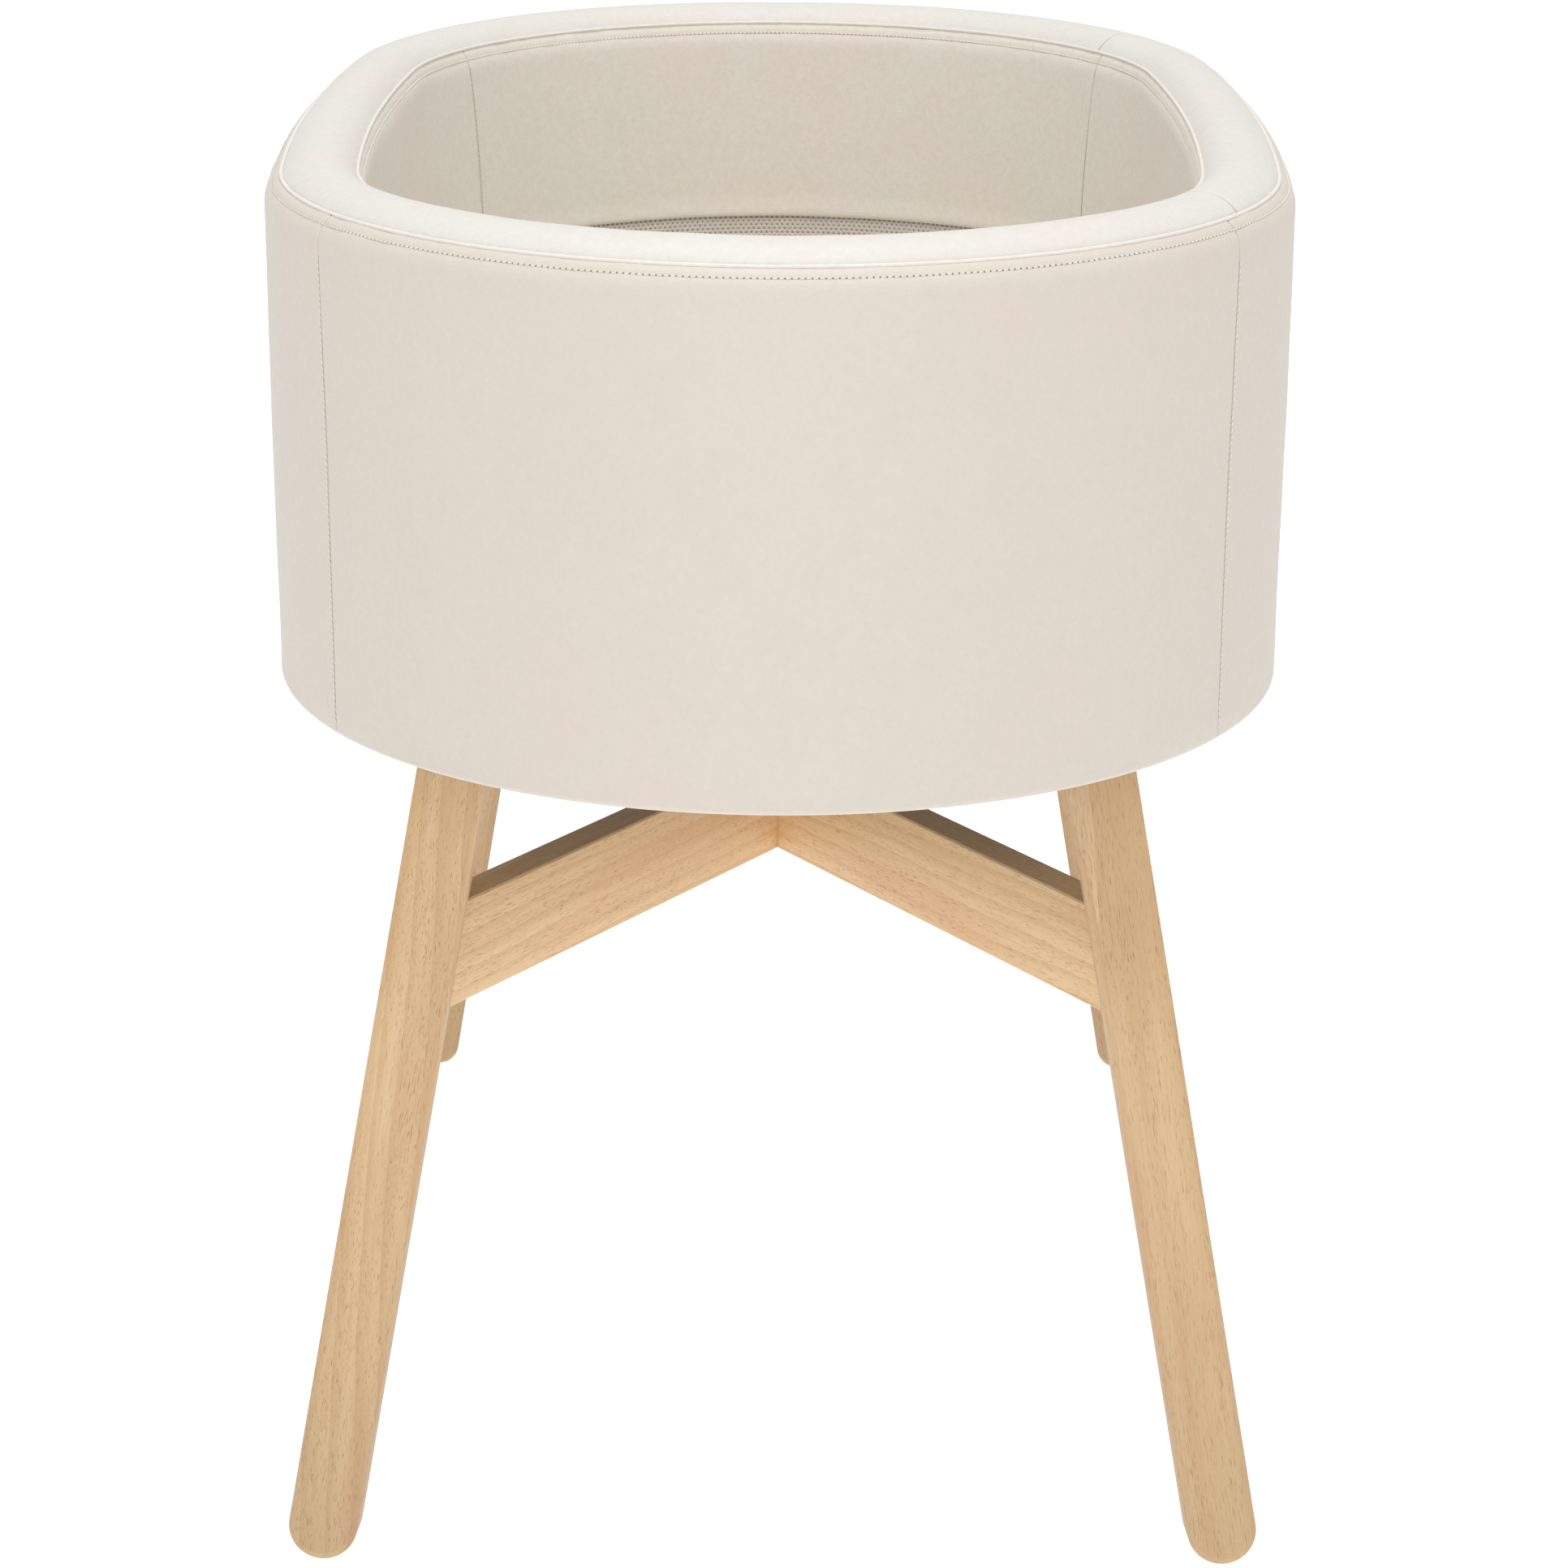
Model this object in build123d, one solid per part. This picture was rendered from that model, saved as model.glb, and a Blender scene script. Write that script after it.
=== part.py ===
from build123d import *
import os
from math import atan2, cos, degrees, hypot, radians, sin

# An oval upholstered bassinet on four splayed wooden legs.
# Millimetres. X is across the width, Y along the length, Z up. The origin is on the floor, under the centre.

# Basket, over the outer cover
basket_width = 528.0
basket_length = 792.0
side_radius = 2000.0         # bow of the long sides
rim_height = 682.0           # floor to the two seam lines of the rim
basket_depth = 258.0         # seam lines to the underside
wall = 50.0                  # outer cover to lining
rim_crown = 9.0              # how far the padded rim rises above its seam lines
shoulder_drop = 14.0         # height over which the wall curves in to a seam line
outer_shoulder = 8.5         # how far it curves in, outside and inside
inner_shoulder = 3.5
seam_angle = 60.0            # upright seams, in degrees round each end from the long axis

# Layers of the wall
cover_thickness = 1.2
outer_padding = 8.0
shell_thickness = 6.0
shell_top_drop = 30.0        # seam lines down to the top edge of the shell
hem_width = 26.0             # cover turned under the base
lining_height = 120.0        # seam lines down to the mesh band
mesh_thickness = 3.0
piping_radius = 1.6

# Base
board_thickness = 12.0
dust_thickness = 0.8
floor_thickness = 1.0
splice_length = 60.0
splice_thickness = 3.0
splice_height = 180.0

# Mattress
mattress_height = 38.0
mattress_gap = 8.0           # lining to mattress, all round
mattress_edge = 8.0
ticking = 1.2
rest_gap = 0.3               # mattress to basket floor
zip_length = 230.0
zip_width = 6.0
zip_height = 12.0            # mattress underside to the middle of the zip
slider_length = 9.0
slider_width = 8.0
slider_thickness = 3.0
slider_gap = 0.3
pull_length = 16.0
pull_width = 5.0
pull_thickness = 1.0

# Legs
leg_size = 35.0
leg_chamfer = 3.5
foot_flat = 3.0              # depth cut off the round foot to make a flat that stands on the floor
foot_inset_x = 32.0          # basket's side to the middle of a foot
foot_inset_y = 66.0          # basket's end to the middle of a foot
top_inset_x = 107.0          # basket's side to the middle of a leg, at its top
top_inset_y = 163.0

# Crossed brace
brace_bottom = 272.0
brace_height = 54.0
brace_thickness = 20.0
brace_ease = 1.0
dowel_radius = 4.0
dowel_in_leg = 14.0
dowel_in_brace = 22.0
dowel_spacing = 28.0

# Leg plates and fasteners
plate_thickness = 3.0
plate_outer = 19.0           # leg's middle to the plate's outer edges
plate_inner = 46.0           # leg's middle to the plate's inner edges
plate_corner = 6.0
plate_hole_inner = 35.0      # leg's middle to the bolts nearest the basket's centre
plate_hole_outer = 6.0
bolt_radius = 2.9
bolt_head_radius = 5.5
bolt_head_height = 3.3
bolt_head_chamfer = 1.1
bolt_socket_radius = 2.2
bolt_socket_depth = 1.65
bolt_hole_radius = 3.3
nut_bore_radius = 3.0
nut_barrel_radius = 4.0
nut_flange_radius = 9.0
nut_flange_height = 1.2
nut_barrel_height = 9.0
leg_screw_radius = 2.2
leg_screw_head_radius = 4.4
leg_screw_length = 30.0
leg_screw_offset = 7.0
shell_screw_radius = 1.7
shell_screw_head_radius = 3.4
shell_screw_length = 25.0
shell_screw_sink = 0.1       # heads lie this far below the shell's face
shell_screw_turns = (-60.0, -20.0, 20.0, 60.0)   # degrees round each end

# Worked out from the sizes above
half_width = basket_width / 2
half_length = basket_length / 2
end_power = 2 * half_width * side_radius - half_width ** 2 - half_length ** 2
end_radius = end_power / 2 / (side_radius - half_length)   # the ends' arcs run on from the sides' arcs
end_centre = half_length - end_radius
side_centre = half_width - side_radius
side_sweep = degrees(atan2(end_centre, -side_centre))
end_sweep = 90 - side_sweep
seam_turn = end_sweep - seam_angle   # how far a side panel runs round each end
underside = rim_height - basket_depth
board_bottom = underside + cover_thickness
board_top = board_bottom + board_thickness
shell_face = cover_thickness + outer_padding   # depth of the shell's outer face
shell_back = shell_face + shell_thickness
shell_top = rim_height - shell_top_drop
mesh_top = rim_height - lining_height
dust_bottom = board_bottom - dust_thickness
plate_bottom = dust_bottom - plate_thickness
floor_top = board_top + floor_thickness
mattress_bottom = floor_top + rest_gap
mattress_side = wall + mattress_gap            # depth of the mattress's side
brace_middle = brace_bottom + brace_height / 2
corners = {
    "near_left": (-1, -1),
    "near_right": (1, -1),
    "far_left": (-1, 1),
    "far_right": (1, 1),
}
parts = {}


# ---- shapes shared by the pieces ----

def oval(depth):
    """The basket's plan, moved in by depth: four arcs, each running on from the last."""
    side = half_width - depth
    end = half_length - depth
    x = side_centre + (side_radius - depth) * cos(radians(side_sweep))
    y = (side_radius - depth) * sin(radians(side_sweep))
    right = ThreePointArc((x, -y), (side, 0), (x, y))
    far = ThreePointArc((x, y), (0, end), (-x, y))
    left = ThreePointArc((-x, y), (-side, 0), (-x, -y))
    near = ThreePointArc((-x, -y), (0, -end), (x, -y))
    return make_face(right + far + left + near)


def slab(depth, bottom, height):
    return Pos(0, 0, bottom) * extrude(oval(depth), height)


def section(*points):
    """A wall section; each point is a depth in from the outer cover, and a height."""
    outline = Polyline(*[(half_width - depth, height) for depth, height in points], close=True)
    return make_face(outline)


def band(outer, inner, bottom, top):
    """A rectangle of the wall section, between two depths and two heights."""
    return section((outer, bottom), (outer, top), (inner, top), (inner, bottom))


def wall_outline():
    """The whole wall and its crowned rim, with both shoulders curving in to the seam lines."""
    outer_low = Vector(half_width, rim_height - shoulder_drop)
    outer_seam = Vector(half_width - outer_shoulder, rim_height)
    peak = Vector(half_width - wall / 2, rim_height + rim_crown)
    inner_seam = Vector(half_width - wall + inner_shoulder, rim_height)
    inner_low = Vector(half_width - wall, rim_height - shoulder_drop)
    outer_foot = Vector(half_width, underside)
    inner_foot = Vector(half_width - wall, underside)
    upper = TangentArc(outer_low, outer_seam, tangent=(0, 1)) + ThreePointArc(outer_seam, peak, inner_seam)
    lower = Polyline(inner_low, inner_foot, outer_foot, outer_low)
    return make_face(upper + TangentArc(inner_low, inner_seam, tangent=(0, 1)) + lower)


def bead(depth):
    return Pos(half_width - depth, rim_height) * Circle(piping_radius)


def at_end(end, turn):
    """Where a piece drawn at the right-hand side goes, to lie on an end's arc instead."""
    return Pos(0, end * end_centre, 0) * Rot(0, 0, end * 90 + turn) * Pos(end_radius - half_width, 0, 0)


def at_side(side, turn):
    """The same for the sides' arcs, turned along the side."""
    facing = Rot(0, 0, 0 if side > 0 else 180)
    return facing * Pos(side_centre, 0, 0) * Rot(0, 0, turn) * Pos(-side_centre, 0, 0)


def swept(sketch, centre, start, sweep):
    """A wall section swept about an upright axis through the X axis at centre."""
    upright = Pos(centre, 0, 0) * Rot(0, 0, start) * Pos(-centre, 0, 0) * (Plane.XZ * sketch)
    return revolve(upright, Axis((centre, 0, 0), (0, 0, 1)), sweep)


def round_end(sketch, end, angle=end_sweep):
    """A wall section swept round one end, angle degrees each way from the long axis."""
    return at_end(end, 0) * swept(sketch, half_width - end_radius, -angle, 2 * angle)


def along_side(sketch, side, turn=0.0):
    """A wall section swept along one side, and turn degrees round each end from it."""
    body = swept(sketch, side_centre, -side_sweep, 2 * side_sweep)
    if turn > 0:
        far_turn = at_end(1, -end_sweep) * swept(sketch, half_width - end_radius, 0, turn)
        body += [far_turn, mirror(far_turn, Plane.XZ)]
    return body if side > 0 else mirror(body, Plane.YZ)


def side_strip(sketch, side, length):
    """A wall section swept along the middle of one side, over a length."""
    angle = degrees(length / side_radius)
    return at_side(side, 0) * swept(sketch, side_centre, -angle / 2, angle)


def ring(sketch):
    ends = [round_end(sketch, end) for end in (-1, 1)]
    return along_side(sketch, 1) + along_side(sketch, -1) + ends


def at_height(foot, top, height):
    """Where a leg's middle line crosses a height, for one coordinate."""
    return foot + (top - foot) * height / underside


# ---- legs and brace ----

foot_x = half_width - foot_inset_x
foot_y = half_length - foot_inset_y
top_x = half_width - top_inset_x
top_y = half_length - top_inset_y


def leg(side, end):
    """A square leg with a half-round foot, chamfered round both faces, leaning in to the basket."""
    foot = Vector(side * foot_x, end * foot_y, 0)
    top = Vector(side * top_x, end * top_y, underside)
    lean = (top - foot).normalized()
    reach = (top - foot).length + leg_size
    radius = leg_size / 2
    outline = Pos(0, radius) * Circle(radius) + Pos(0, radius + reach / 2) * Rectangle(leg_size, reach)
    blank = extrude(Plane.XZ * outline, radius, both=True)
    faces = blank.faces().filter_by(Axis.Y)
    blank = chamfer([edge for face in faces for edge in face.edges()], leg_chamfer)
    across = Vector(1, 0, 0) - lean * lean.X
    stance = Plane(origin=foot, x_dir=across, z_dir=lean)
    body = stance.location * blank
    body = Pos(0, 0, -foot_flat - body.bounding_box().min.Z) * body
    return body & Pos(0, 0, plate_bottom / 2) * Box(2 * basket_length, 2 * basket_length, plate_bottom)


brace_x = at_height(foot_x, top_x, brace_middle)
brace_y = at_height(foot_y, top_y, brace_middle)
brace_reach = hypot(brace_x, brace_y)
brace_turn = degrees(atan2(brace_y, brace_x))


def brace_board(side):
    """One full diagonal board, before it is halved and fitted to the legs."""
    board = Box(2 * brace_reach, brace_thickness, brace_height)
    board = chamfer(board.edges().filter_by(Axis.X), brace_ease)
    return Pos(0, 0, brace_middle) * Rot(0, 0, side * brace_turn) * board


def dowels_for(side, end):
    """Two dowels from a leg into the end of its brace board."""
    face = leg_size / 2 / max(cos(radians(brace_turn)), sin(radians(brace_turn)))
    start = brace_reach - face - dowel_in_brace
    length = dowel_in_brace + dowel_in_leg
    peg = Pos(start + length / 2, 0, 0) * Rot(0, 90, 0) * Cylinder(dowel_radius, length)
    turn = degrees(atan2(end * brace_y, side * brace_x))
    heights = (brace_middle - dowel_spacing / 2, brace_middle + dowel_spacing / 2)
    return [Pos(0, 0, height) * Rot(0, 0, turn) * peg for height in heights]


# ---- leg plates, bolts and screws ----

plate_x = at_height(foot_x, top_x, plate_bottom)
plate_y = at_height(foot_y, top_y, plate_bottom)


def bolt_places(side, end):
    offsets = (
        (-plate_hole_inner, plate_hole_outer),
        (-plate_hole_inner, -plate_hole_inner),
        (plate_hole_outer, -plate_hole_inner),
    )
    return [(side * (plate_x + dx), end * (plate_y + dy)) for dx, dy in offsets]


def screw_places(side, end):
    steps = (-leg_screw_offset, leg_screw_offset)
    return [(side * (plate_x + step), end * (plate_y - step)) for step in steps]


def bolt_hole(x, y, bottom, thickness):
    """Cuts through a sheet that lies on a height."""
    return Pos(x, y, bottom + thickness / 2) * Cylinder(bolt_hole_radius, 2 * thickness)


def leg_plate(side, end):
    size = plate_outer + plate_inner
    shift = (plate_outer - plate_inner) / 2
    sheet = extrude(RectangleRounded(size, size, plate_corner), plate_thickness)
    return Pos(side * (plate_x + shift), end * (plate_y + shift), plate_bottom) * sheet


def plate_bolt(x, y):
    tip = board_top - nut_flange_height
    shank = Cylinder(bolt_radius, tip - plate_bottom, align=(Align.CENTER, Align.CENTER, Align.MIN))
    head = Cylinder(bolt_head_radius, bolt_head_height, align=(Align.CENTER, Align.CENTER, Align.MAX))
    socket = extrude(RegularPolygon(bolt_socket_radius, 6), bolt_socket_depth)
    head = chamfer(head.edges().sort_by(Axis.Z)[0], bolt_head_chamfer)
    head -= Pos(0, 0, -bolt_head_height) * socket
    return Pos(x, y, plate_bottom) * (shank + head)


def tee_nut(x, y):
    align = (Align.CENTER, Align.CENTER, Align.MAX)
    body = Cylinder(nut_flange_radius, nut_flange_height, align=align)
    body += Cylinder(nut_barrel_radius, nut_barrel_height, align=align)
    body -= Cylinder(nut_bore_radius, nut_barrel_height, align=align)
    return Pos(x, y, board_top) * body


def nut_pocket(x, y):
    align = (Align.CENTER, Align.CENTER, Align.MAX)
    body = Cylinder(nut_flange_radius, nut_flange_height, align=align)
    body += Cylinder(nut_barrel_radius, board_thickness, align=align)
    return Pos(x, y, board_top) * body


def countersunk(radius, head_radius, length):
    """A wood screw along -Z, with the top of its head at the origin."""
    align = (Align.CENTER, Align.CENTER, Align.MAX)
    point_length = 2 * radius
    shank = Cylinder(radius, length - point_length, align=align)
    head = Cone(radius, head_radius, head_radius - radius, align=align)
    point = Cone(radius / 4, radius, point_length, align=align)
    return shank + head + Pos(0, 0, point_length - length) * point


def around_shell(piece):
    """A piece drawn along -Z, set into the shell's face at each screw's place."""
    height = (board_bottom + board_top) / 2
    inward = Pos(half_width - shell_face, 0, height) * Rot(0, 90, 0) * piece
    side_turns = (-side_sweep / 2, side_sweep / 2)
    ends = [at_end(end, turn) * inward for end in (-1, 1) for turn in shell_screw_turns]
    sides = [at_side(side, turn) * inward for side in (-1, 1) for turn in side_turns]
    return ends + sides


legs = {name: leg(*signs) for name, signs in corners.items()}
dowels = [peg for signs in corners.values() for peg in dowels_for(*signs)]
bolt_spots = [spot for signs in corners.values() for spot in bolt_places(*signs)]
screw_spots = [spot for signs in corners.values() for spot in screw_places(*signs)]
leg_screw = countersunk(leg_screw_radius, leg_screw_head_radius, leg_screw_length)
leg_screws = [Pos(x, y, plate_bottom + plate_thickness) * leg_screw for x, y in screw_spots]
shell_screw = countersunk(shell_screw_radius, shell_screw_head_radius, shell_screw_length)
sunk_screw = Pos(0, 0, -shell_screw_sink) * shell_screw
radial_screws = around_shell(sunk_screw)
screw_holes = around_shell(sunk_screw + Cylinder(shell_screw_head_radius, 2 * shell_screw_sink))

left_board = brace_board(1)
right_board = brace_board(-1)
upper_half = Pos(0, 0, brace_middle + brace_height / 2) * Box(basket_length, basket_length, brace_height)
lower_half = Pos(0, 0, brace_middle - brace_height / 2) * Box(basket_length, basket_length, brace_height)
fitted = list(legs.values()) + dowels
parts["brace_left_to_right"] = left_board - (right_board & upper_half) - fitted
parts["brace_right_to_left"] = right_board - (left_board & lower_half) - fitted
parts["brace_dowels"] = Compound(children=dowels)

for name, signs in corners.items():
    parts["leg_" + name] = legs[name] - dowels - leg_screws
    holes = [bolt_hole(x, y, plate_bottom, plate_thickness) for x, y in bolt_places(*signs)]
    parts["leg_plate_" + name] = leg_plate(*signs) - holes - leg_screws
parts["leg_screws"] = Compound(children=leg_screws)
parts["plate_bolts"] = Compound(children=[plate_bolt(x, y) for x, y in bolt_spots])
parts["tee_nuts"] = Compound(children=[tee_nut(x, y) for x, y in bolt_spots])
parts["shell_screws"] = Compound(children=radial_screws)

# ---- base and shell ----

pockets = [nut_pocket(x, y) for x, y in bolt_spots]
parts["base_board"] = slab(shell_back, board_bottom, board_thickness) - pockets - radial_screws
dust_holes = [bolt_hole(x, y, dust_bottom, dust_thickness) for x, y in bolt_spots]
parts["dust_cover"] = slab(hem_width, dust_bottom, dust_thickness) - dust_holes
parts["floor_lining"] = slab(wall, board_top, floor_thickness)

shell_section = band(shell_face, shell_back, board_bottom, shell_top)
near_side = Pos(0, -basket_length / 2, rim_height / 2) * Box(basket_width, basket_length, rim_height)
shell = ring(shell_section)
parts["shell_near"] = (shell & near_side) - screw_holes
parts["shell_far"] = (shell - near_side) - screw_holes
splice_section = band(shell_back, shell_back + splice_thickness, board_top, board_top + splice_height)
splices = [side_strip(splice_section, side, splice_length) for side in (-1, 1)]
parts["shell_splices"] = Compound(children=splices)

# ---- padding ----

beads = [bead(outer_shoulder), bead(wall - inner_shoulder)]
outline = wall_outline()
stuffing = offset(outline, -cover_thickness)
mesh_section = band(wall - mesh_thickness, wall, board_top, mesh_top)
board_edge = band(shell_back, wall, underside, board_top)
padding_section = stuffing - beads - shell_section - mesh_section - board_edge
for name, end in (("near", -1), ("far", 1)):
    parts["padding_end_" + name] = round_end(padding_section, end)
for name, side in (("left", -1), ("right", 1)):
    parts["padding_side_" + name] = along_side(padding_section, side) - splices

# ---- outer cover, rim, lining, mesh and piping ----

skin = outline - stuffing - beads
cover_section = skin & band(-wall, hem_width, underside, rim_height)
lining_section = skin & band(wall / 2, 2 * wall, mesh_top, rim_height)
rim_section = skin & band(-wall, 2 * wall, rim_height, rim_height + 2 * rim_crown)
for name, end in (("near", -1), ("far", 1)):
    parts["cover_end_" + name] = round_end(cover_section, end, seam_angle)
    parts["lining_end_" + name] = round_end(lining_section, end, seam_angle)
for name, side in (("left", -1), ("right", 1)):
    parts["cover_side_" + name] = along_side(cover_section, side, seam_turn)
    parts["lining_side_" + name] = along_side(lining_section, side, seam_turn)
rim_ends = [round_end(rim_section, end, seam_angle) for end in (-1, 1)]
parts["rim_cover_main"] = along_side(rim_section, -1, seam_turn) + rim_ends
parts["rim_cover_right"] = along_side(rim_section, 1, seam_turn)
parts["mesh_band"] = ring(mesh_section)
parts["piping_outer"] = ring(beads[0])
parts["piping_inner"] = ring(beads[1])

# ---- mattress ----


def pad(inset):
    """The mattress's rounded slab, moved in on every side."""
    body = slab(mattress_side + inset, mattress_bottom + inset, mattress_height - 2 * inset)
    rims = body.edges().filter_by(Axis.Z, reverse=True)
    return fillet(rims, mattress_edge - inset)


zip_middle = mattress_bottom + zip_height
zip_bottom = zip_middle - zip_width / 2
zip_top = zip_middle + zip_width / 2
zip_window = side_strip(band(wall, mattress_side + 2 * ticking, zip_bottom, zip_top), 1, zip_length)
below_zip = Pos(0, 0, zip_middle - mattress_height) * Box(basket_width, basket_length, 2 * mattress_height)
ticking_shell = pad(0) - pad(ticking)
parts["mattress_core"] = pad(ticking)
parts["mattress_zip"] = ticking_shell & zip_window
parts["mattress_cover_base"] = (ticking_shell & below_zip) - zip_window
parts["mattress_cover_top"] = ticking_shell - below_zip - zip_window

slider_x = half_width - mattress_side + slider_gap + slider_thickness / 2
slider = Pos(slider_x, 0, zip_middle) * Box(slider_thickness, slider_length, slider_width)
slider = chamfer(slider.edges().filter_by(Axis.Y), pull_thickness / 2)
pull_x = slider_x + slider_thickness / 2 + pull_thickness / 2
pull = Pos(pull_x, pull_length / 2, zip_middle) * Box(pull_thickness, pull_length, pull_width)
parts["zip_slider"] = at_side(1, degrees((slider_length - zip_length) / 2 / side_radius)) * (slider + pull)

os.makedirs("parts", exist_ok=True)
for name, shape in parts.items():
    export_step(shape, "parts/" + name + ".step")
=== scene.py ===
import math
import bmesh
import bpy
from mathutils import Matrix, Vector, noise


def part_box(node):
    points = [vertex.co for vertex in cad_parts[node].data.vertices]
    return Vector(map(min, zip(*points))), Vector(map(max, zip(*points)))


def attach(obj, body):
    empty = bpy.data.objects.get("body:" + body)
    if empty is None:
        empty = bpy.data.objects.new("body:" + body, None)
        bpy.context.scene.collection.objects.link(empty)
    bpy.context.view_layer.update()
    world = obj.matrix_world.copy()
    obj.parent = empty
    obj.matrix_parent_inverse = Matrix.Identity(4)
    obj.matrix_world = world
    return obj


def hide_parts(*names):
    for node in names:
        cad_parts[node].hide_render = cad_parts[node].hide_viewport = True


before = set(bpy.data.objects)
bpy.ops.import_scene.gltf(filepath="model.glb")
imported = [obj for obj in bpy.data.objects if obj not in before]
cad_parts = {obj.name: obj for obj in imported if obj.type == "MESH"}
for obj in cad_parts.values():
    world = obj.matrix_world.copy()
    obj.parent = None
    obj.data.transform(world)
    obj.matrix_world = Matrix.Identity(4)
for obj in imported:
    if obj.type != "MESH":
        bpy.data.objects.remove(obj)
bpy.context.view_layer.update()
print("frame loaded:", len(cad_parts), "nodes")

# the basket's plan: a four-centre oval, the same as the frame's
basket = {
    "sideRadius": 2.0,  # bow of the long sides
    "rimSeam": 61.0,  # seams' directions, in degrees from the long axis
    "coverSeam": 57.8,
    "liningSeam": 63.0,
    "step": 0.0045,  # mesh spacing round the wall
    "fineStep": 0.0007,  # spacing beside a seam
    "fineReach": 0.0055,
    "merge": 2e-5,  # points this near to each other are one
}

coverLow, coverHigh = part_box("cover_side_right")
halfWidth = coverHigh.x
underside = coverLow.z
seamHeight = coverHigh.z
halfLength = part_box("cover_end_far")[1].y
floorLow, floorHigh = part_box("floor_lining")
wallDepth = halfWidth - floorHigh.x
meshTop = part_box("lining_side_right")[0].z
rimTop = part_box("rim_cover_main")[1].z
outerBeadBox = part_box("piping_outer")
beadRadius = (outerBeadBox[1].z - outerBeadBox[0].z) / 2
outerBead = halfWidth - outerBeadBox[1].x + beadRadius
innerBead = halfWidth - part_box("piping_inner")[1].x + beadRadius

sideRadius = basket["sideRadius"]
endRadius = (2 * halfWidth * sideRadius - halfWidth ** 2 - halfLength ** 2) / 2 / (sideRadius - halfLength)
endCentre = halfLength - endRadius
sideCentre = halfWidth - sideRadius
sideSweep = math.atan2(endCentre, -sideCentre)
quarter = math.pi / 2
fullTurn = 2 * math.pi
tiny = 1e-6
rimTurn = quarter - math.radians(basket["rimSeam"])  # direction of the first seam from +X


# Centre and radius of the plan's arc that faces a direction
def arcAt(turn):
    turn = turn % fullTurn
    if turn <= sideSweep or turn >= fullTurn - sideSweep:
        return Vector((sideCentre, 0, 0)), sideRadius
    if turn < math.pi - sideSweep:
        return Vector((0, endCentre, 0)), endRadius
    if turn <= math.pi + sideSweep:
        return Vector((-sideCentre, 0, 0)), sideRadius
    return Vector((0, -endCentre, 0)), endRadius


def outward(turn):
    return Vector((math.cos(turn), math.sin(turn), 0))


def wallPoint(turn, depth, height):
    centre, radius = arcAt(turn)
    return centre + outward(turn) * (radius - depth) + Vector((0, 0, height))


# How far inside the outer cover a point is
def depthAt(point, turn):
    centre, radius = arcAt(turn)
    return radius - (point - centre).dot(outward(turn))


# A run round the plan, as arcs of one centre each
def arcSpans(start, end):
    breaks = []
    for whole in (-1, 0, 1, 2):
        for edge in (sideSweep, math.pi - sideSweep, math.pi + sideSweep, fullTurn - sideSweep):
            at = edge + whole * fullTurn
            if start + tiny < at < end - tiny:
                breaks.append(at)
    points = [start] + sorted(breaks) + [end]
    return list(zip(points[:-1], points[1:]))


# Length round the outside of the plan from the +X side's middle to a direction
def distanceRound(turn):
    total = 0.0
    for low, high in arcSpans(0.0, abs(turn)) if turn else []:
        total += arcAt((low + high) / 2)[1] * (high - low)
    return total if turn >= 0 else -total


# The direction after walking a length round the outside from start
def turnAfter(start, length):
    turn, left = start, length
    while left > 1e-9:
        radius = arcAt(turn + 10 * tiny)[1]
        low, high = arcSpans(turn, turn + fullTurn)[0]
        room = radius * (high - low)
        if room >= left:
            return turn + left / radius
        left -= room
        turn = high
    return turn


roundTotal = distanceRound(fullTurn - 1e-9)


# The direction that the plan faces at a point of the wall
def directionOf(point):
    endY = math.copysign(endCentre, point.y)
    turn = math.atan2(point.y - endY, point.x)
    if abs(math.sin(turn)) > math.sin(sideSweep) and math.sin(turn) * endY > 0:
        return turn
    sideX = math.copysign(sideCentre, -point.x)
    return math.atan2(point.y, point.x - sideX)


# A wall profile of (depth, height) points spun round the basket, with each point's length along it
def sweepWall(profile, start, end, fineEnds=True, closed=False, step=None):
    step = step or basket["step"]
    reach = basket["fineReach"]
    shape = bmesh.new()
    along = shape.verts.layers.float.new("along")
    lengths = [0.0]
    for before, after in zip(profile[:-1], profile[1:]):
        lengths.append(lengths[-1] + math.dist(before, after))
    verts = [shape.verts.new(wallPoint(start, depth, height)) for depth, height in profile]
    for vert, length in zip(verts, lengths):
        vert[along] = length
    edges = [shape.edges.new(pair) for pair in zip(verts[:-1], verts[1:])]
    if closed:
        edges.append(shape.edges.new((verts[-1], verts[0])))
    last = verts + edges
    for low, high in arcSpans(start, end):
        centre, radius = arcAt((low + high) / 2)
        spans = [(low, high, step)]
        if fineEnds and low == start:
            spans = [(low, low + reach / radius, basket["fineStep"])] + [(low + reach / radius, high, step)]
        if fineEnds and high == end:
            first, final = spans[-1][0], high - reach / radius
            spans = spans[:-1] + [(first, final, step), (final, high, basket["fineStep"])]
        for begin, finish, size in spans:
            steps = max(1, math.ceil((finish - begin) * radius / size))
            spun = bmesh.ops.spin(
                shape, geom=last, cent=centre, axis=(0, 0, 1), dvec=(0, 0, 0),
                angle=finish - begin, steps=steps, use_merge=False, use_duplicate=False)
            last = spun["geom_last"]
    bmesh.ops.remove_doubles(shape, verts=shape.verts, dist=basket["merge"])
    bmesh.ops.recalc_face_normals(shape, faces=shape.faces)
    return shape, along, lengths[-1]


# Turns an open strip's faces round if they look away from the side that is seen
def faceOutwards(shape, towards):
    score = 0.0
    for face in shape.faces:
        out = outward(directionOf(face.calc_center_median()))
        score += face.normal.dot(out * towards[0] + Vector((0, 0, towards[1]))) * face.calc_area()
    if score < 0:
        bmesh.ops.reverse_faces(shape, faces=shape.faces)


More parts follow.
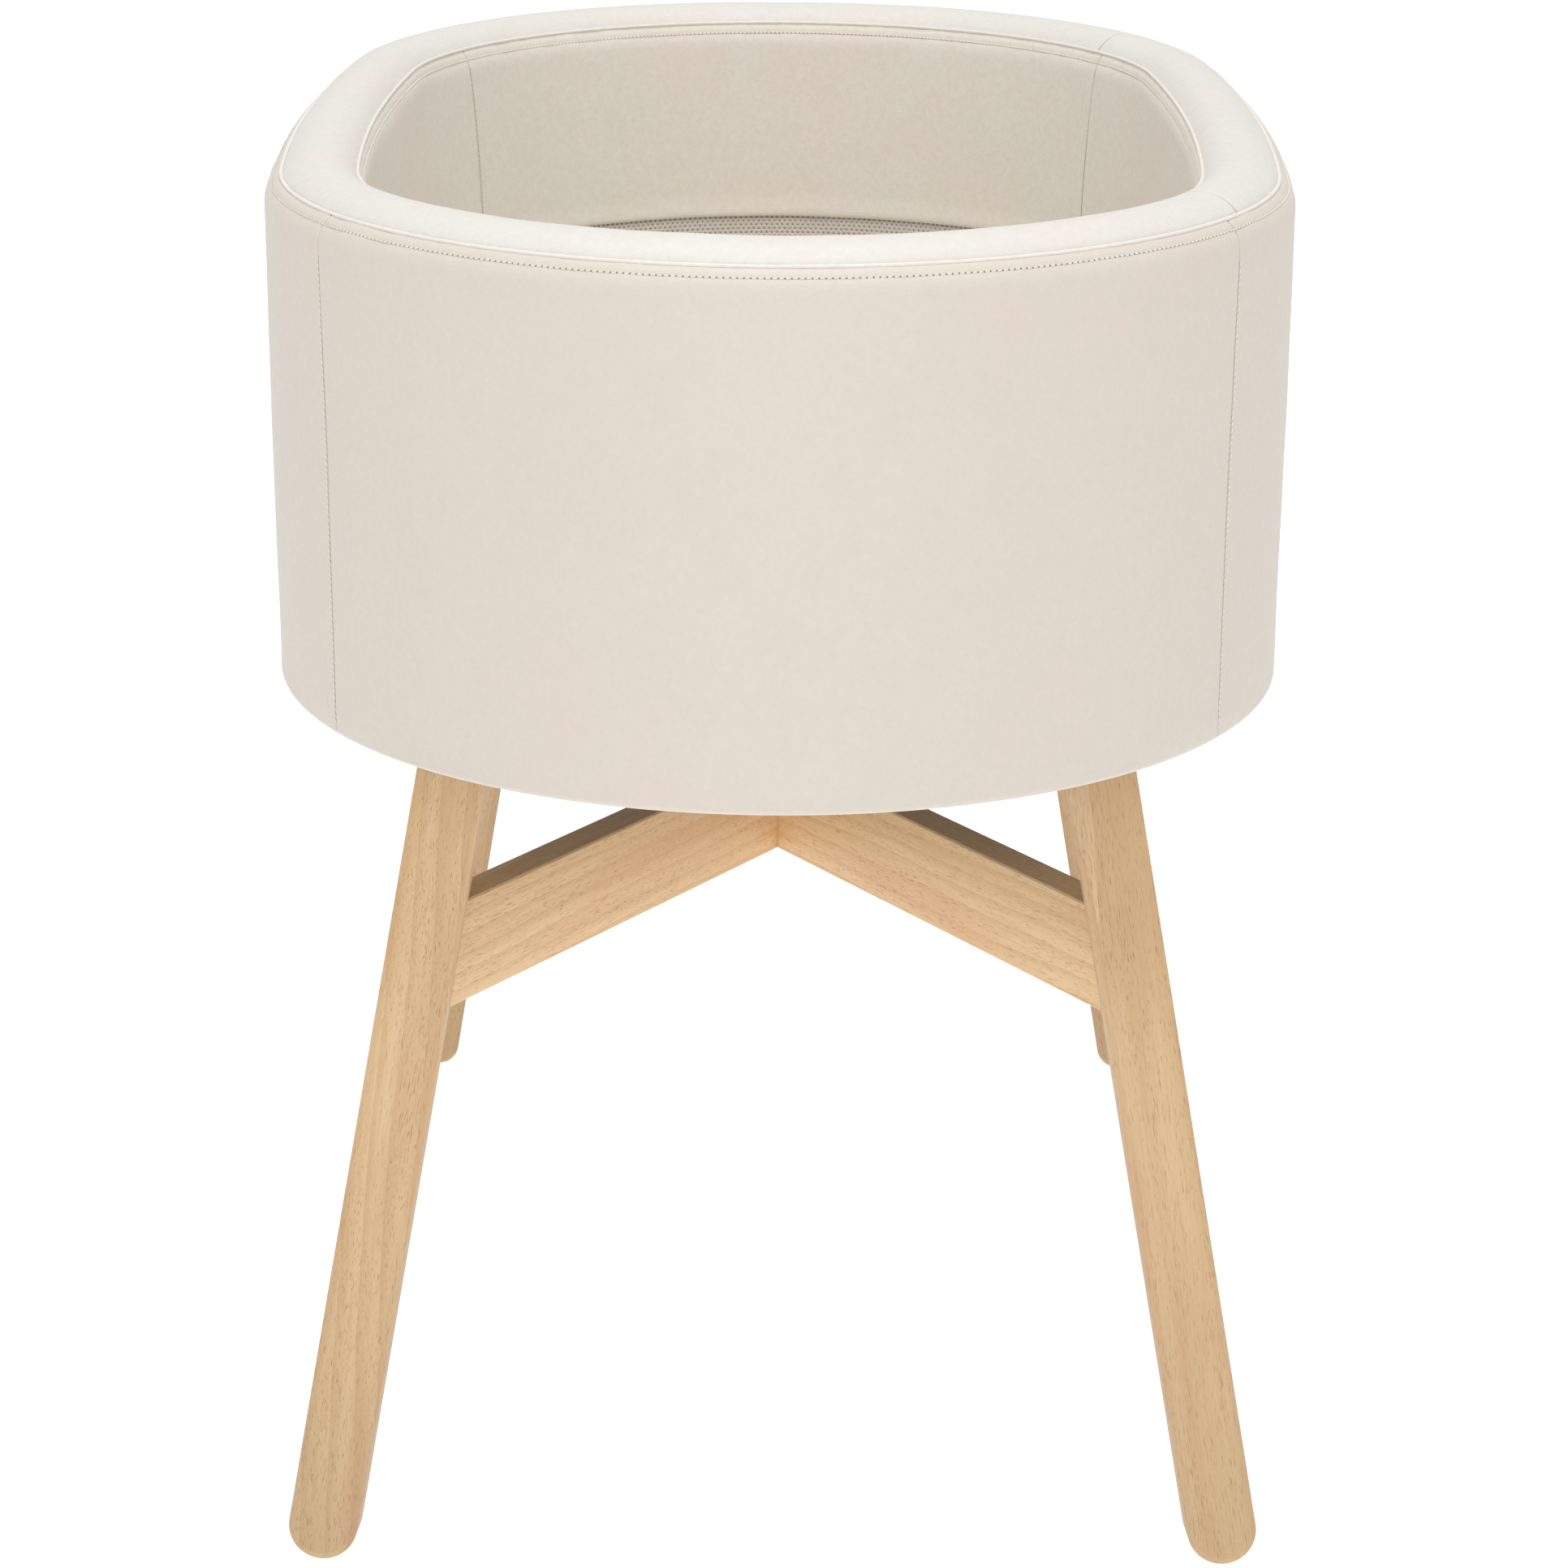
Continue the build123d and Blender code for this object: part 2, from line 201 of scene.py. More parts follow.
# A UV map in metres: length round the basket, and length along the profile
def mapRound(shape, along):
    layer = shape.loops.layers.uv.new("UVMap")
    for face in shape.faces:
        middle = distanceRound(directionOf(face.calc_center_median()))
        for loop in face.loops:
            reach = distanceRound(directionOf(loop.vert.co))
            reach += roundTotal * round((middle - reach) / roundTotal)
            loop[layer].uv = (reach, loop.vert[along])


def asObject(shape, name, smooth=True):
    mesh = bpy.data.meshes.new(name)
    for face in shape.faces:
        face.smooth = smooth
    shape.to_mesh(mesh)
    shape.free()
    piece = bpy.data.objects.new(name, mesh)
    bpy.context.scene.collection.objects.link(piece)
    return piece


# Gives an open strip its cloth thickness, inwards from its shown face
def thicken(piece, thickness):
    modifier = piece.modifiers.new("thickness", "SOLIDIFY")
    modifier.thickness = thickness
    modifier.offset = -1


def bevel(shape, edges, width, segments=2, clamp=False):
    bmesh.ops.bevel(
        shape, geom=edges, offset=width, segments=segments, profile=0.5, affect="EDGES", material=-1,
        clamp_overlap=clamp)


# A mesh as a named piece that rides a body, with its material, standing for some nodes
def dress(shape, name, material, slot, *nodes, thickness=None, body="bassinet", smooth=True):
    piece = asObject(shape, name, smooth)
    piece.data.materials.append(material)
    if thickness:
        thicken(piece, thickness)
    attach(piece, body)
    if nodes:
        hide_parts(*nodes)
    return piece


# materials


def startMaterial(name, **sockets):
    material = bpy.data.materials.new(name)
    material.use_nodes = True
    tree = material.node_tree
    shader = tree.nodes["Principled BSDF"]
    for socket, value in sockets.items():
        shader.inputs[socket.replace("_", " ")].default_value = value
    return material, tree, shader


def addNode(tree, kind, inputs=None, **settings):
    made = tree.nodes.new("ShaderNode" + kind)
    for key, value in settings.items():
        setattr(made, key, value)
    for socket, value in (inputs or {}).items():
        if isinstance(value, bpy.types.NodeSocket):
            tree.links.new(value, made.inputs[socket])
        else:
            made.inputs[socket].default_value = value
    return made


def objectPlace(tree):
    return addNode(tree, "TexCoord").outputs["Object"]


def parted(tree, vector):
    return addNode(tree, "SeparateXYZ", {0: vector}).outputs


# Metres round the basket and metres along the profile, from the piece's UV map
def seamPlace(tree):
    return parted(tree, addNode(tree, "UVMap", uv_map="UVMap").outputs[0])


def mapping(tree, vector, **sockets):
    return addNode(tree, "Mapping", {"Vector": vector, **sockets}).outputs[0]


def calc(tree, operation, *values, clamp=False):
    made = addNode(tree, "Math", dict(enumerate(values)), operation=operation, use_clamp=clamp)
    return made.outputs[0]


def times(tree, first, second):
    return calc(tree, "MULTIPLY", first, second)


def blend(tree, factor, first, second, mode="MIX"):
    made = tree.nodes.new("ShaderNodeMix")
    made.data_type = "RGBA"
    made.blend_type = mode
    for socket, value in ((0, factor), (6, first), (7, second)):
        if isinstance(value, bpy.types.NodeSocket):
            tree.links.new(value, made.inputs[socket])
        else:
            made.inputs[socket].default_value = value if socket == 0 else (*value[:3], 1)
    return made.outputs[2]


# Blends another colour in where a mask is high
def tint(tree, mask, strength, colour, other):
    return blend(tree, times(tree, mask, strength), colour, other)


# A 0 to 1 value, as low to high
def spread(tree, value, low, high):
    return addNode(tree, "MapRange", {0: value, 3: low, 4: high}).outputs[0]


def distance(tree, first, second):
    squares = [times(tree, side, side) for side in (first, second)]
    return calc(tree, "SQRT", calc(tree, "ADD", *squares))


def inside(tree, value, low, high):
    return calc(tree, "SUBTRACT", 1.0, ramp(tree, value, low, high))


# 0 below low, 1 above high, smooth between
def ramp(tree, value, low, high):
    made = addNode(tree, "MapRange", {0: value, 1: low, 2: high}, interpolation_type="SMOOTHSTEP")
    return made.outputs[0]


def noiseAt(tree, vector, scale, detail=2.0, roughness=0.5, distortion=0.0):
    made = addNode(tree, "TexNoise", {
        "Vector": vector, "Scale": scale, "Detail": detail, "Roughness": roughness, "Distortion": distortion})
    return made.outputs["Fac"]


# Stacks bump layers of (height, strength, distance) on a shader
def addBump(tree, shader, layers):
    normal = None
    for height, strength, distance in layers:
        bump = addNode(tree, "Bump", {"Height": height, "Strength": strength, "Distance": distance})
        if normal:
            tree.links.new(normal, bump.inputs["Normal"])
        normal = bump.outputs[0]
    tree.links.new(normal, shader.inputs["Normal"])


# A screen colour of 0 to 255, as scene-linear
def linear(red, green, blue):
    out = []
    for channel in (red, green, blue):
        part = channel / 255
        out.append(part / 12.92 if part <= 0.04045 else ((part + 0.055) / 1.055) ** 2.4)
    return (*out, 1.0)


stitching = {
    "pitch": 0.0031,  # hole to hole
    "length": 0.0024,
    "thick": 0.00042,  # thread's radius
    "seamSink": 0.0001,  # upright seams' threads lie this deep in the fold
    "below": 0.0065,  # bead's middle to the outer row
    "belowInside": 0.0062,
    "sink": 0.0003,  # how far the thread pulls the cover in
    "sinkWidth": 0.0011,
    "slant": 0.16,  # stitches lie at a slight angle
    "slantSpread": 0.14,
    "ahead": 0.001,  # how far ahead a seam's run is measured
}

leather = {
    "colour": linear(220, 212, 201),
    "warm": linear(222, 210, 200),
    "cool": linear(217, 212, 200),
    "roughness": 0.52,
    "grain": 950.0,  # grains per metre
    "fine": 2600.0,
    "crease": 260.0,
    "drift": 7.0,  # patches per metre, large and small
    "patch": 31.0,
    # painted shade: the colour laid along the leather's fine creases
    "paintedCreaseShade": linear(206, 195, 181),
    "hole": (0.0003, 0.00078),
    # painted shade: the colour of the needle holes' shaded pits
    "paintedHoleShade": linear(112, 97, 84),
    # painted shadow along the rim's cross seams: its widths and colour
    "join": (0.0004, 0.0011),
    "paintedSeamShadow": linear(118, 106, 92),
}


# Soft matt vegan leather, darkened along its fine creases as painted shade. holeRow is how far along the
# profile a row of needle holes lies, each hole painted as a dark dot of shade, and joinAt how far round from
# the middle of the right-hand side the cross seams are, each drawn with a thin painted shadow.
def makeLeather(name, look, holeRow=None, joinAt=None):
    material, tree, shader = startMaterial(
        name, Roughness=leather["roughness"], Specular_IOR_Level=0.32, Sheen_Weight=0.08, Sheen_Roughness=0.6)
    place = objectPlace(tree)
    drift = noiseAt(tree, place, leather["drift"], 3.0)
    patch = noiseAt(tree, place, leather["patch"])
    colour = blend(tree, ramp(tree, drift, 0.35, 0.65), look["warm"], look["cool"])
    colour = blend(tree, ramp(tree, patch, 0.3, 0.7), colour, look["colour"])
    cells = addNode(tree, "TexVoronoi", {
        "Vector": place, "Scale": leather["grain"], "Randomness": 0.9}, feature="SMOOTH_F1").outputs["Distance"]
    fine = noiseAt(tree, place, leather["fine"])
    crease = noiseAt(tree, place, leather["crease"], 4.0, 0.6, 0.4)
    # painted shade: the leather is darkened along its fine crease pattern
    colour = tint(tree, ramp(tree, crease, 0.2, 0.8), 0.22, colour, leather["paintedCreaseShade"])
    around, length = seamPlace(tree)[:2]
    # painted shadow: a thin dark line along each cross seam of the rim
    if joinAt is not None:
        away = calc(tree, "ABSOLUTE", calc(tree, "SUBTRACT", calc(tree, "ABSOLUTE", around), joinAt))
        colour = tint(tree, inside(tree, away, *leather["join"]), 0.9, colour, leather["paintedSeamShadow"])
    # painted shade: a dark dot at each needle hole stands in for the shade in its pit
    if holeRow is not None:
        count = calc(tree, "DIVIDE", around, holePitch)
        away = times(tree, calc(tree, "SUBTRACT", calc(tree, "FRACT", count), 0.5), holePitch)
        gap = distance(tree, away, calc(tree, "SUBTRACT", length, holeRow))
        colour = tint(tree, inside(tree, gap, *leather["hole"]), 0.85, colour, leather["paintedHoleShade"])
    tree.links.new(colour, shader.inputs["Base Color"])
    tree.links.new(spread(tree, crease, 0.44, 0.6), shader.inputs["Roughness"])
    addBump(tree, shader, [(cells, 0.16, 0.0006), (fine, 0.08, 0.0002), (drift, 0.12, 0.004)])
    return material


stitchCount = round(roundTotal / stitching["pitch"])
holePitch = roundTotal / stitchCount


# outer cover: four panels, hemmed under the base and drawn up to the outer bead
cover = {
    "thickness": 0.0012,
    "hem": 0.0245,  # how far the cover is turned under
    "edge": 0.0035,  # radius at the bottom edge
    "shoulderDrop": 0.014,
    "seamTuck": 0.0007,  # depth of the upright seams
    "seamWidth": 0.0008,
    "roll": 0.00022,  # fullness between the stitching and the bead
    "rollWidth": 0.0017,
    "lean": 0.004,  # how far the upright seams lean, and over what height
    "leanFall": 0.12,
    "fadeIn": 0.012,  # no unevenness this near to a bead
    "uneven": ((0.0006, 9.0), (0.00025, 26.0)),
    "pucker": 0.00032,
    "puckerReach": 0.02,
}


# Points of a shoulder that starts upright and curves in by depthIn over a height of drop
def arcProfile(depthIn, drop, steps):
    radius = (depthIn ** 2 + drop ** 2) / 2 / depthIn
    angles = [2 * math.atan2(depthIn, drop) * step / steps for step in range(1, steps + 1)]
    return [(radius * (1 - math.cos(angle)), radius * math.sin(angle)) for angle in angles]


def outerProfile():
    edge = cover["edge"]
    points = [(cover["hem"] - 0.0001, underside + 0.0006), (cover["hem"] * 0.6, underside + 0.0001)]
    for step in range(7):
        angle = quarter * step / 6
        points.append((edge - edge * math.sin(angle), underside + edge - edge * math.cos(angle)))
    low, high = underside + edge, seamHeight - cover["shoulderDrop"]
    rows = 26
    points += [(0.0, low + (high - low) * row / rows) for row in range(1, rows + 1)]
    for depth, rise in arcProfile(outerBead, cover["shoulderDrop"], 14):
        points.append((depth, high + rise))
    return points


# Moves each vertex along its own normal by amount(vertex, direction)
def pushOut(shape, amount):
    shape.normal_update()
    moves = [(vert, vert.normal.copy(), amount(vert, directionOf(vert.co))) for vert in shape.verts]
    for vert, normal, distance in moves:
        vert.co += normal * distance


def leanSign(seam):
    return 1 if math.sin(seam) * math.cos(seam) > 0 else -1


def leanAt(height, shift, fall):
    return shift * (1 - math.exp(-max(0.0, seamHeight - height) / fall)) / endRadius


# Leans a panel's side seams towards the basket's ends, more the further they are below the rim
def slantSeams(shape, start, end, shift, fall):
    for vert in shape.verts:
        turn = directionOf(vert.co)
        turn += fullTurn * round(((start + end) / 2 - turn) / fullTurn)
        depth = depthAt(vert.co, turn)
        part = (turn - start) / (end - start)
        side = leanSign(start) * (1 - part) + leanSign(end) * part
        vert.co = wallPoint(turn + leanAt(vert.co.z, shift, fall) * side, depth, vert.co.z)


# A seam's direction at a height
def leaningSeam(seam, height, shift, fall):
    return seam + leanAt(height, shift, fall) * leanSign(seam)


def bell(distance, width):
    return math.exp(-(distance / width) ** 2)


# Distance along the wall to the nearest of some seam directions
def seamGap(turn, seams):
    return min(abs(math.remainder(turn - seam, fullTurn)) for seam in seams) * endRadius


# Four upright seams at an angle from the long axis, and the panels between them
def layOut(angle):
    turn = quarter - math.radians(angle)
    around = [turn, math.pi - turn, math.pi + turn, fullTurn - turn]
    return around, {
        "side_right": (-turn, turn),
        "end_far": (around[0], around[1]),
        "side_left": (around[1], around[2]),
        "end_near": (around[2], around[3]),
    }


coverSeams, coverPanels = layOut(basket["coverSeam"])
liningSeams, liningPanels = layOut(basket["liningSeam"])


# 0 at an edge, rising smoothly to 1
def easeIn(distance, reach):
    return 1 - bell(distance, reach)


# Small gathers in the cover that fade away from a stitched seam
def pucker(turn, height, top):
    reach = distanceRound(turn)
    broad = noise.noise(Vector((reach * 75, height * 20, 3.1)))
    small = noise.noise(Vector((reach * 190, height * 30, 8.7)))
    return cover["pucker"] * bell(top - height, cover["puckerReach"]) * (broad + 0.6 * small)


# The slight unevenness of a cover over foam
def softness(point):
    (wide, wideScale), (small, smallScale) = cover["uneven"]
    return wide * noise.noise(point * wideScale) + small * noise.noise(point * smallScale + Vector((5, 1, 9)))


# How far a cover moves out at a point: tucked at its seams and stitches, full between
def seamed(vert, turn, place, seams, rowAt, total):
    tuck = -cover["seamTuck"] * bell(seamGap(turn, seams), cover["seamWidth"])
    row = -stitching["sink"] * bell(place - rowAt, stitching["sinkWidth"])
    roll = cover["roll"] * bell(place - (rowAt + total) / 2, cover["rollWidth"])
    fade = easeIn(total - place, cover["fadeIn"])
    return tuck + row + roll + softness(vert.co) * fade + pucker(turn, place, rowAt)


def buildOuterCover():
    profile = outerProfile()
    for name, (start, end) in coverPanels.items():
        shape, along, total = sweepWall(profile, start, end)
        faceOutwards(shape, (1, 0))
        rowAt = total - stitching["below"]

        def shift(vert, turn):
            if vert.co.z < underside + cover["edge"]:
                return 0.0
            return seamed(vert, turn, vert[along], coverSeams, rowAt, total)

        mapRound(shape, along)
        pushOut(shape, shift)
        slantSeams(shape, start, end, cover["lean"], cover["leanFall"])
        look = makeLeather("creamLeather_" + name, leather, rowAt)
        piece = dress(
            shape, "cover_" + name + "_leather", look, "faux_leather", "cover_" + name, "padding_" + name,
            thickness=cover["thickness"])
    return profile, total


outerShape, outerTotal = buildOuterCover()
print("outer cover made")

# padded rim
rim = {
    "crown": rimTop - seamHeight,
    "dip": 0.0004,  # drawn down beside the beads
    "dipWidth": 0.0016,
    "crossTuck": 0.0022,
    "crossWidth": 0.0009,
    "gather": 0.0004,
    "gatherReach": 0.012,
    "uneven": 1.2,  # more than the covers
    "colour": linear(227, 225, 219),
    "warm": linear(229, 223, 216),
    "cool": linear(225, 225, 218),
}


# The crown's arc through both seam lines, its ends tucked under the beads
def rimProfile(points=26):
    span = innerBead - outerBead
    radius = (span ** 2 / 4 + rim["crown"] ** 2) / 2 / rim["crown"]
    half = math.asin(span / 2 / radius)
    middle = (outerBead + innerBead) / 2
    made = []
    for step in range(points + 1):
        angle = -half + 2 * half * step / points
        height = seamHeight + rim["crown"] - radius * (1 - math.cos(angle))
        made.append((middle + radius * math.sin(angle), height))
    return made


def buildRim():
    profile = rimProfile()
    for name, (start, end) in {"right": (-rimTurn, rimTurn), "main": (rimTurn, fullTurn - rimTurn)}.items():
        shape, along, total = sweepWall(profile, start, end)
        faceOutwards(shape, (0, 1))

        def shift(vert, turn):
            place = vert[along]
            edge = min(place, total - place)
            cross = -rim["crossTuck"] * bell(seamGap(turn, (rimTurn, -rimTurn)), rim["crossWidth"])
            dip = -rim["dip"] * bell(edge, rim["dipWidth"])
            fade = easeIn(edge, cover["fadeIn"])
            folds = noise.noise(Vector((distanceRound(turn) * 60, edge * 30, 1.7)))
            gather = rim["gather"] * bell(edge, rim["gatherReach"]) * folds
            return cross + dip + softness(vert.co) * rim["uneven"] * fade + gather

        mapRound(shape, along)
        pushOut(shape, shift)
        piece = dress(
            shape, "rim_" + name + "_leather", rimLeather, "faux_leather", "rim_cover_" + name,
            thickness=cover["thickness"])


rimLeather = makeLeather("creamLeatherRim", rim, joinAt=distanceRound(rimTurn))
buildRim()
print("rim made")

# beads of piping
piping = {
    "radius": 0.0010,
    "sides": 12,
    "raise": 0.0002,
    "joint": 0.0011,  # width of the pinch where its two ends meet
    "pinch": 0.35,
    "colour": linear(238, 235, 228),
    "warm": linear(239, 233, 226),
    "cool": linear(236, 235, 227),
}


# A round bead whose two ends meet at one seam
def buildBead(name, depth, joint):
    radius, height = piping["radius"], seamHeight + piping["raise"]
    angles = [-fullTurn * step / piping["sides"] for step in range(piping["sides"])]
    ring = [(depth + radius * math.cos(angle), height + radius * math.sin(angle)) for angle in angles]
    shape = sweepWall(ring, joint, joint + fullTurn, closed=True)[0]
    for vert in shape.verts:
        turn = directionOf(vert.co)
        middle = wallPoint(turn, depth, height)
        pinch = piping["pinch"] * bell(seamGap(turn, (joint,)), piping["joint"])
        vert.co = middle + (vert.co - middle) * (1 - pinch)
    dress(shape, name + "_cord", beadLeather, "faux_leather", name)


beadLeather = makeLeather("creamLeatherBead", piping)
buildBead("piping_outer", outerBead, coverSeams[2])
buildBead("piping_inner", innerBead, liningSeams[1])
print("piping made")

# lining: four panels from the inner bead down to a rolled hem
lining = {
    "thickness": 0.0012,
    "shoulderDrop": 0.014,
    "hemRoll": 0.0011,
    "hem": 0.004,  # the hem's roll is this far up, and this tall
    "lean": 0.022,
    "leanFall": 0.07,
    # painted light: the lining is given a whiter colour than the outer cover, brightening the shaded inside of
    # the basket
    "colour": linear(241, 236, 226),
    "warm": linear(243, 234, 224),
    "cool": linear(238, 236, 225),
}


def buildLining():
    depthIn = wallDepth - innerBead
    drop = lining["shoulderDrop"]
    upper = [(wallDepth - depth, seamHeight - drop + rise) for depth, rise in arcProfile(depthIn, drop, 12)]
    low, high = meshTop, seamHeight - drop
    rows = 22
    wall = [(wallDepth, low + (high - low) * row / rows) for row in range(1, rows + 1)]
    hem = [(wallDepth - 0.0016, low + 0.0006), (wallDepth - 0.0008, low + 0.0001), (wallDepth, low + 0.0004)]
    profile = hem + [(wallDepth, low + 0.0018)] + wall + upper
    for name, (start, end) in liningPanels.items():
        shape, along, total = sweepWall(profile, start, end)
        faceOutwards(shape, (-1, 0))
        rowAt = total - stitching["belowInside"]

        def shift(vert, turn):
            place = vert[along]
            hemBulge = lining["hemRoll"] * bell(place - lining["hem"], lining["hem"])
            return seamed(vert, turn, place, liningSeams, rowAt, total) + hemBulge

        mapRound(shape, along)
        pushOut(shape, shift)
        slantSeams(shape, start, end, lining["lean"], lining["leanFall"])
        look = makeLeather("liningLeather_" + name, lining, rowAt)
        piece = dress(
            shape, "lining_" + name + "_leather", look, "faux_leather_lining", "lining_" + name,
            thickness=lining["thickness"])
    return profile, total


liningShape, liningTotal = buildLining()
print("lining made")

# stitching: a thread in each row of needle holes


# The (depth, height) on a profile after a length, and the way that it runs there
def profileAt(profile, length):
    for (depthA, heightA), (depthB, heightB) in zip(profile[:-1], profile[1:]):
        size = math.dist((depthA, heightA), (depthB, heightB))
        if length <= size:
            part = length / size
            return (depthA + (depthB - depthA) * part, heightA + (heightB - heightA) * part,
                    (depthB - depthA) / size, (heightB - heightA) / size)
        length -= size
    return (*profile[-1], 0.0, 1.0)


# A short rounded stitch at each (middle, run, outward) place
def layThread(name, places, slot):
    single = bmesh.new()
    lying = Matrix.Rotation(quarter, 4, "Y")
    bmesh.ops.create_uvsphere(single, u_segments=6, v_segments=5, radius=1.0, matrix=lying)
    stitch = bpy.data.meshes.new("stitch")
    single.to_mesh(stitch)
    single.free()
    shape = bmesh.new()
    for index, (middle, run, out) in enumerate(places):
        slant = stitching["slantSpread"] * noise.noise(Vector((index * 0.37, 2.0, 5.0))) + stitching["slant"]
        run = (run + out.cross(run).normalized() * slant).normalized()
        turn = Matrix((run, out.cross(run).normalized(), out)).transposed().to_4x4()
        size = Matrix.Diagonal((stitching["length"] / 2, stitching["thick"], stitching["thick"], 1))
        place = Matrix.Translation(middle) @ turn @ size
        stitch.transform(place)
        shape.from_mesh(stitch)
        stitch.transform(place.inverted())
    dress(shape, name, thread, slot)


# Stitch places all round the basket, a set length back from a profile's top
def threadRow(profile, total, back, facing):
    depth, height, depthRun, heightRun = profileAt(profile, total - back)
    lift = stitching["thick"] * 0.55 - stitching["sink"]
    places = []
    for index in range(stitchCount):
        turn = turnAfter(0.0, index * holePitch)
        run = Vector((-math.sin(turn), math.cos(turn), 0))
        normal = (outward(turn) * facing * abs(heightRun) + Vector((0, 0, abs(depthRun)))).normalized()
        places.append((wallPoint(turn, depth, height) + normal * lift, run, normal))
    return places


# Stitch places up one seam, along its fold
def threadUpright(seam, depth, low, high, facing, shift, fall):
    lift = stitching["thick"] * 0.2 - stitching["seamSink"]
    places = []
    for index in range(int((high - low) / holePitch)):
        height = low + (index + 0.5) * holePitch
        above = height + stitching["ahead"]
        turn, turnAbove = (leaningSeam(seam, z, shift, fall) for z in (height, above))
        middle = wallPoint(turn, depth, height)
        run = (wallPoint(turnAbove, depth, above) - middle).normalized()
        out = outward(turn) * facing
        places.append((middle + out * lift, run, out))
    return places


def makeTwoTone(name, roughness, sheen, scale, first, second, bumpScale, bumpStrength):
    material, tree, shader = startMaterial(name, Roughness=roughness, Sheen_Weight=sheen)
    place = objectPlace(tree)
    tree.links.new(blend(tree, noiseAt(tree, place, scale), first, second), shader.inputs["Base Color"])
    addBump(tree, shader, [(noiseAt(tree, place, bumpScale), bumpStrength, 0.0002)])
    return material


thread = makeTwoTone("thread", 0.55, 0.2, 420.0, linear(240, 235, 226), linear(226, 218, 206), 3200.0, 0.3)

layThread("thread_outer_row", threadRow(outerShape, outerTotal, stitching["below"], 1), "faux_leather")
innerRow = threadRow(liningShape, liningTotal, stitching["belowInside"], -1)
layThread("thread_inner_row", innerRow, "faux_leather_lining")
innerUprights, outerUprights = [], []
for innerSeam, outerSeam in zip(liningSeams, coverSeams):
    innerUprights += threadUpright(
        innerSeam, wallDepth, meshTop + 0.004, seamHeight - 0.009, -1, lining["lean"], lining["leanFall"])
    outerUprights += threadUpright(
        outerSeam, 0.0, underside + 0.006, seamHeight - 0.018, 1, cover["lean"], cover["leanFall"])
layThread("thread_inner_seams", innerUprights, "faux_leather_lining")
layThread("thread_outer_seams", outerUprights, "faux_leather")
print("stitching made")

# mesh band, floor lining and dust cover
mesh = {
    "column": 0.0040,
    "row": 0.0025,
    "hole": 0.00050,
    "recess": 0.0009,  # how far the knit lies behind the lining
    "thickness": 0.0022,
    "yarn": linear(240, 235, 226),
    "yarnShade": linear(228, 220, 208),
    # painted shade in the mesh's holes
    "paintedHoleShade": linear(132, 118, 104),
}
meshColumns = round(roundTotal / mesh["column"])


# Spacer mesh: staggered holes between raised rounded threads, the holes painted dark as shade
def makeMesh():
    material, tree, shader = startMaterial("spacerMesh", Roughness=0.7, Sheen_Weight=0.15)
    around, height = seamPlace(tree)[:2]
    rows = calc(tree, "DIVIDE", height, mesh["row"])
    stagger = times(tree, calc(tree, "MODULO", calc(tree, "FLOOR", rows), 2.0), 0.5)
    columns = calc(tree, "ADD", calc(tree, "DIVIDE", around, roundTotal / meshColumns), stagger)
    gap = distance(tree, *[
        times(tree, calc(tree, "SUBTRACT", calc(tree, "FRACT", count), 0.5), size)
        for count, size in ((columns, mesh["column"] * 0.8), (rows, mesh["row"] * 1.15))])
    hole = inside(tree, gap, mesh["hole"] * 0.75, mesh["hole"] * 1.25)
    place = objectPlace(tree)
    yarn = blend(tree, noiseAt(tree, place, 300.0, 3.0), mesh["yarn"], mesh["yarnShade"])
    # painted shade: the holes are coloured dark
    tree.links.new(blend(tree, hole, yarn, mesh["paintedHoleShade"]), shader.inputs["Base Color"])
    knots = ramp(tree, gap, 0.0004, 0.0016)
    addBump(tree, shader, [(knots, 0.8, 0.0012), (noiseAt(tree, place, 2400.0), 0.25, 0.0003)])
    return material


def buildMeshBand():
    low, high = floorHigh.z - 0.0008, meshTop + 0.001
    profile = [(wallDepth - mesh["recess"], low + (high - low) * row / 16) for row in range(17)]
    shape, along, total = sweepWall(profile, -quarter, 3 * quarter, fineEnds=False, step=0.006)
    faceOutwards(shape, (-1, 0))
    mapRound(shape, along)
    pushOut(shape, lambda vert, turn: 0.0003 * noise.noise(vert.co * 24.0))
    piece = dress(
        shape, "mesh_band_knit", makeMesh(), "spacer_mesh", "mesh_band", thickness=mesh["thickness"])


def waves(tree, side, spacing):
    return calc(tree, "SINE", times(tree, side, fullTurn / spacing))


# Plain woven cloth with its threads along X and Y
def makeCloth(name, base, dark, weave, roughness=0.85):
    material, tree, shader = startMaterial(name, Roughness=roughness, Sheen_Weight=0.2)
    place = objectPlace(tree)
    warp, weft = [waves(tree, side, weave) for side in parted(tree, place)[:2]]
    crossing = times(tree, warp, weft)
    slub = noiseAt(tree, place, 90.0, 4.0)
    factor = calc(tree, "MULTIPLY_ADD", crossing, 0.18, times(tree, slub, 0.7), clamp=True)
    tree.links.new(blend(tree, factor, base, dark), shader.inputs["Base Color"])
    addBump(tree, shader, [(crossing, 0.35, weave / 3), (slub, 0.2, 0.0006)])
    return material


# A flat oval sheet on the basket's plan, faintly uneven, with its middle closed
def buildFlatCloth(name, node, depth, height, facing, thickness, material, wave):
    steps = 15
    reach = endRadius - 0.008 - depth
    profile = [(depth + reach * step / steps, height) for step in range(steps + 1)]
    shape, along, total = sweepWall(profile, 0.0, fullTurn, fineEnds=False, step=0.018)
    middle = [edge for edge in shape.edges if edge.is_boundary and min(
        vert[along] for vert in edge.verts) > total - 0.001]
    bmesh.ops.holes_fill(shape, edges=middle, sides=0)
    faceOutwards(shape, (0, facing))
    for vert in shape.verts:
        fade = min(1.0, vert[along] / 0.05)
        vert.co.z += wave * fade * (noise.noise(vert.co * 11.0) - 0.5)
    piece = dress(shape, name, material, "lining_cloth", node, thickness=thickness)


